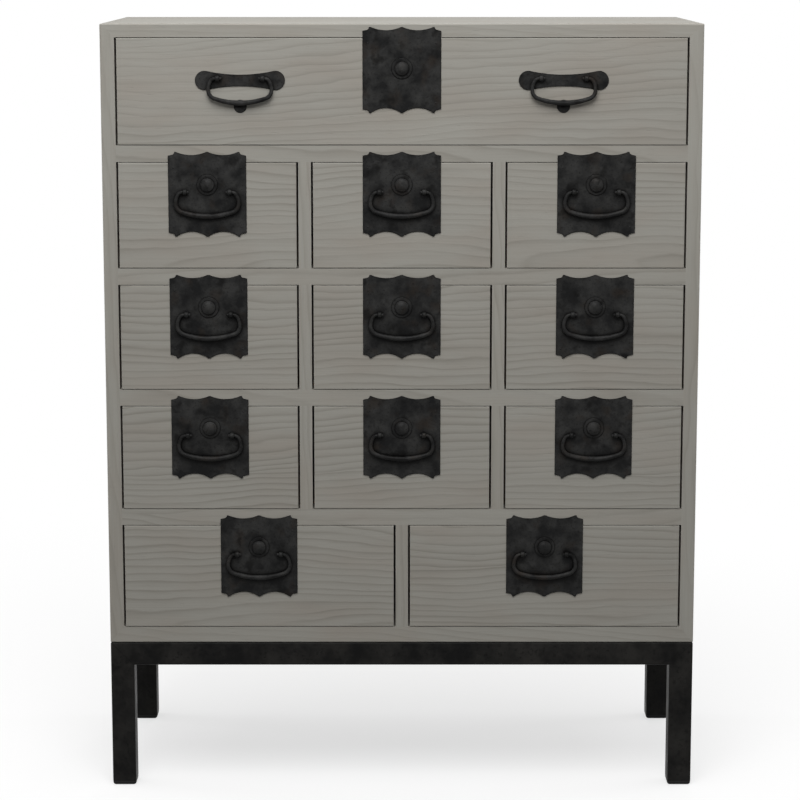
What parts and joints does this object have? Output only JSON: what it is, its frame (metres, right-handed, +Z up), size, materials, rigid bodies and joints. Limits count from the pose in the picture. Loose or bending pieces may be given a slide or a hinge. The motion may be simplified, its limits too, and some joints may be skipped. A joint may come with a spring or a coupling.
{
  "type": "drawer chest on a metal stand",
  "caption": "Tall wooden chest of sliding drawers with blackened iron lock plates and swinging bail pulls, on a low square-tube steel stand.",
  "frame": {"origin": "on the floor under the middle of the whole chest, ironwork included", "axes": "+X to the right when facing the drawers, +Y from the drawer fronts to the back, +Z up; drawers slide out along -Y"},
  "size_m": [0.943, 0.4137, 1.2335],
  "materials": {
    "stained_wood": "grey-brown stained pine under a matt lacquer, grain left open",
    "drawer_wood": "plain planed softwood, unstained",
    "back_wood": "stained plywood, matt",
    "blackened_iron": "blackened sheet and forged iron, slightly mottled, waxed",
    "powder_coated_steel": "matt black coating over welded square tube",
    "glide_plastic": "black moulded plastic",
    "zinc_steel": "zinc-plated steel"
  },
  "bodies": {
    "case": {"top_panel": "stained_wood", "bottom_panel": "stained_wood", "left_side": "stained_wood", "right_side": "stained_wood", "back_panel": "back_wood", "drawer_rails": "stained_wood", "drawer_dividers": "stained_wood", "drawer_runners": "drawer_wood", "stand_frame": "powder_coated_steel", "leg_glides": "glide_plastic", "case_screws": "zinc_steel"},
    "top_drawer": {"top_drawer_front": "stained_wood", "top_drawer_box": "drawer_wood", "top_drawer_ironwork": "blackened_iron"},
    "top_drawer_left_bail": {"top_drawer_left_bail": "blackened_iron"},
    "top_drawer_right_bail": {"top_drawer_right_bail": "blackened_iron"},
    "upper_left_drawer": {"upper_left_drawer_front": "stained_wood", "upper_left_drawer_box": "drawer_wood", "upper_left_drawer_ironwork": "blackened_iron"},
    "upper_left_drawer_bail": {"upper_left_drawer_bail": "blackened_iron"},
    "upper_centre_drawer": {"upper_centre_drawer_front": "stained_wood", "upper_centre_drawer_box": "drawer_wood", "upper_centre_drawer_ironwork": "blackened_iron"},
    "upper_centre_drawer_bail": {"upper_centre_drawer_bail": "blackened_iron"},
    "upper_right_drawer": {"upper_right_drawer_front": "stained_wood", "upper_right_drawer_box": "drawer_wood", "upper_right_drawer_ironwork": "blackened_iron"},
    "upper_right_drawer_bail": {"upper_right_drawer_bail": "blackened_iron"},
    "middle_left_drawer": {"middle_left_drawer_front": "stained_wood", "middle_left_drawer_box": "drawer_wood", "middle_left_drawer_ironwork": "blackened_iron"},
    "middle_left_drawer_bail": {"middle_left_drawer_bail": "blackened_iron"},
    "middle_centre_drawer": {"middle_centre_drawer_front": "stained_wood", "middle_centre_drawer_box": "drawer_wood", "middle_centre_drawer_ironwork": "blackened_iron"},
    "middle_centre_drawer_bail": {"middle_centre_drawer_bail": "blackened_iron"},
    "middle_right_drawer": {"middle_right_drawer_front": "stained_wood", "middle_right_drawer_box": "drawer_wood", "middle_right_drawer_ironwork": "blackened_iron"},
    "middle_right_drawer_bail": {"middle_right_drawer_bail": "blackened_iron"},
    "lower_left_drawer": {"lower_left_drawer_front": "stained_wood", "lower_left_drawer_box": "drawer_wood", "lower_left_drawer_ironwork": "blackened_iron"},
    "lower_left_drawer_bail": {"lower_left_drawer_bail": "blackened_iron"},
    "lower_centre_drawer": {"lower_centre_drawer_front": "stained_wood", "lower_centre_drawer_box": "drawer_wood", "lower_centre_drawer_ironwork": "blackened_iron"},
    "lower_centre_drawer_bail": {"lower_centre_drawer_bail": "blackened_iron"},
    "lower_right_drawer": {"lower_right_drawer_front": "stained_wood", "lower_right_drawer_box": "drawer_wood", "lower_right_drawer_ironwork": "blackened_iron"},
    "lower_right_drawer_bail": {"lower_right_drawer_bail": "blackened_iron"},
    "bottom_left_drawer": {"bottom_left_drawer_front": "stained_wood", "bottom_left_drawer_box": "drawer_wood", "bottom_left_drawer_ironwork": "blackened_iron"},
    "bottom_left_drawer_bail": {"bottom_left_drawer_bail": "blackened_iron"},
    "bottom_right_drawer": {"bottom_right_drawer_front": "stained_wood", "bottom_right_drawer_box": "drawer_wood", "bottom_right_drawer_ironwork": "blackened_iron"},
    "bottom_right_drawer_bail": {"bottom_right_drawer_bail": "blackened_iron"}
  },
  "joints": [
    {"name": "top_drawer_slide", "type": "slide", "parent": "case", "child": "top_drawer", "axis": [0, -1, 0], "range_m": [0, 0.285]},
    {"name": "top_drawer_left_bail_hinge", "type": "hinge", "parent": "top_drawer", "child": "top_drawer_left_bail", "pos_m": [-0.253, -0.2012, 1.1487], "axis": [-1, 0, 0], "range_deg": [0, 180]},
    {"name": "top_drawer_right_bail_hinge", "type": "hinge", "parent": "top_drawer", "child": "top_drawer_right_bail", "pos_m": [0.253, -0.2012, 1.1487], "axis": [-1, 0, 0], "range_deg": [0, 180]},
    {"name": "upper_left_drawer_slide", "type": "slide", "parent": "case", "child": "upper_left_drawer", "axis": [0, -1, 0], "range_m": [0, 0.285]},
    {"name": "upper_left_drawer_bail_hinge", "type": "hinge", "parent": "upper_left_drawer", "child": "upper_left_drawer_bail", "pos_m": [-0.306, -0.2012, 0.9708], "axis": [-1, 0, 0], "range_deg": [0, 180]},
    {"name": "upper_centre_drawer_slide", "type": "slide", "parent": "case", "child": "upper_centre_drawer", "axis": [0, -1, 0], "range_m": [0, 0.285]},
    {"name": "upper_centre_drawer_bail_hinge", "type": "hinge", "parent": "upper_centre_drawer", "child": "upper_centre_drawer_bail", "pos_m": [0, -0.2012, 0.9708], "axis": [-1, 0, 0], "range_deg": [0, 180]},
    {"name": "upper_right_drawer_slide", "type": "slide", "parent": "case", "child": "upper_right_drawer", "axis": [0, -1, 0], "range_m": [0, 0.285]},
    {"name": "upper_right_drawer_bail_hinge", "type": "hinge", "parent": "upper_right_drawer", "child": "upper_right_drawer_bail", "pos_m": [0.306, -0.2012, 0.9708], "axis": [-1, 0, 0], "range_deg": [0, 180]},
    {"name": "middle_left_drawer_slide", "type": "slide", "parent": "case", "child": "middle_left_drawer", "axis": [0, -1, 0], "range_m": [0, 0.285]},
    {"name": "middle_left_drawer_bail_hinge", "type": "hinge", "parent": "middle_left_drawer", "child": "middle_left_drawer_bail", "pos_m": [-0.306, -0.2012, 0.7763], "axis": [-1, 0, 0], "range_deg": [0, 180]},
    {"name": "middle_centre_drawer_slide", "type": "slide", "parent": "case", "child": "middle_centre_drawer", "axis": [0, -1, 0], "range_m": [0, 0.285]},
    {"name": "middle_centre_drawer_bail_hinge", "type": "hinge", "parent": "middle_centre_drawer", "child": "middle_centre_drawer_bail", "pos_m": [0, -0.2012, 0.7763], "axis": [-1, 0, 0], "range_deg": [0, 180]},
    {"name": "middle_right_drawer_slide", "type": "slide", "parent": "case", "child": "middle_right_drawer", "axis": [0, -1, 0], "range_m": [0, 0.285]},
    {"name": "middle_right_drawer_bail_hinge", "type": "hinge", "parent": "middle_right_drawer", "child": "middle_right_drawer_bail", "pos_m": [0.306, -0.2012, 0.7763], "axis": [-1, 0, 0], "range_deg": [0, 180]},
    {"name": "lower_left_drawer_slide", "type": "slide", "parent": "case", "child": "lower_left_drawer", "axis": [0, -1, 0], "range_m": [0, 0.285]},
    {"name": "lower_left_drawer_bail_hinge", "type": "hinge", "parent": "lower_left_drawer", "child": "lower_left_drawer_bail", "pos_m": [-0.306, -0.2012, 0.5818], "axis": [-1, 0, 0], "range_deg": [0, 180]},
    {"name": "lower_centre_drawer_slide", "type": "slide", "parent": "case", "child": "lower_centre_drawer", "axis": [0, -1, 0], "range_m": [0, 0.285]},
    {"name": "lower_centre_drawer_bail_hinge", "type": "hinge", "parent": "lower_centre_drawer", "child": "lower_centre_drawer_bail", "pos_m": [0, -0.2012, 0.5818], "axis": [-1, 0, 0], "range_deg": [0, 180]},
    {"name": "lower_right_drawer_slide", "type": "slide", "parent": "case", "child": "lower_right_drawer", "axis": [0, -1, 0], "range_m": [0, 0.285]},
    {"name": "lower_right_drawer_bail_hinge", "type": "hinge", "parent": "lower_right_drawer", "child": "lower_right_drawer_bail", "pos_m": [0.306, -0.2012, 0.5818], "axis": [-1, 0, 0], "range_deg": [0, 180]},
    {"name": "bottom_left_drawer_slide", "type": "slide", "parent": "case", "child": "bottom_left_drawer", "axis": [0, -1, 0], "range_m": [0, 0.285]},
    {"name": "bottom_left_drawer_bail_hinge", "type": "hinge", "parent": "bottom_left_drawer", "child": "bottom_left_drawer_bail", "pos_m": [-0.2295, -0.2012, 0.3873], "axis": [-1, 0, 0], "range_deg": [0, 180]},
    {"name": "bottom_right_drawer_slide", "type": "slide", "parent": "case", "child": "bottom_right_drawer", "axis": [0, -1, 0], "range_m": [0, 0.285]},
    {"name": "bottom_right_drawer_bail_hinge", "type": "hinge", "parent": "bottom_right_drawer", "child": "bottom_right_drawer_bail", "pos_m": [0.2295, -0.2012, 0.3873], "axis": [-1, 0, 0], "range_deg": [0, 180]}
  ]
}
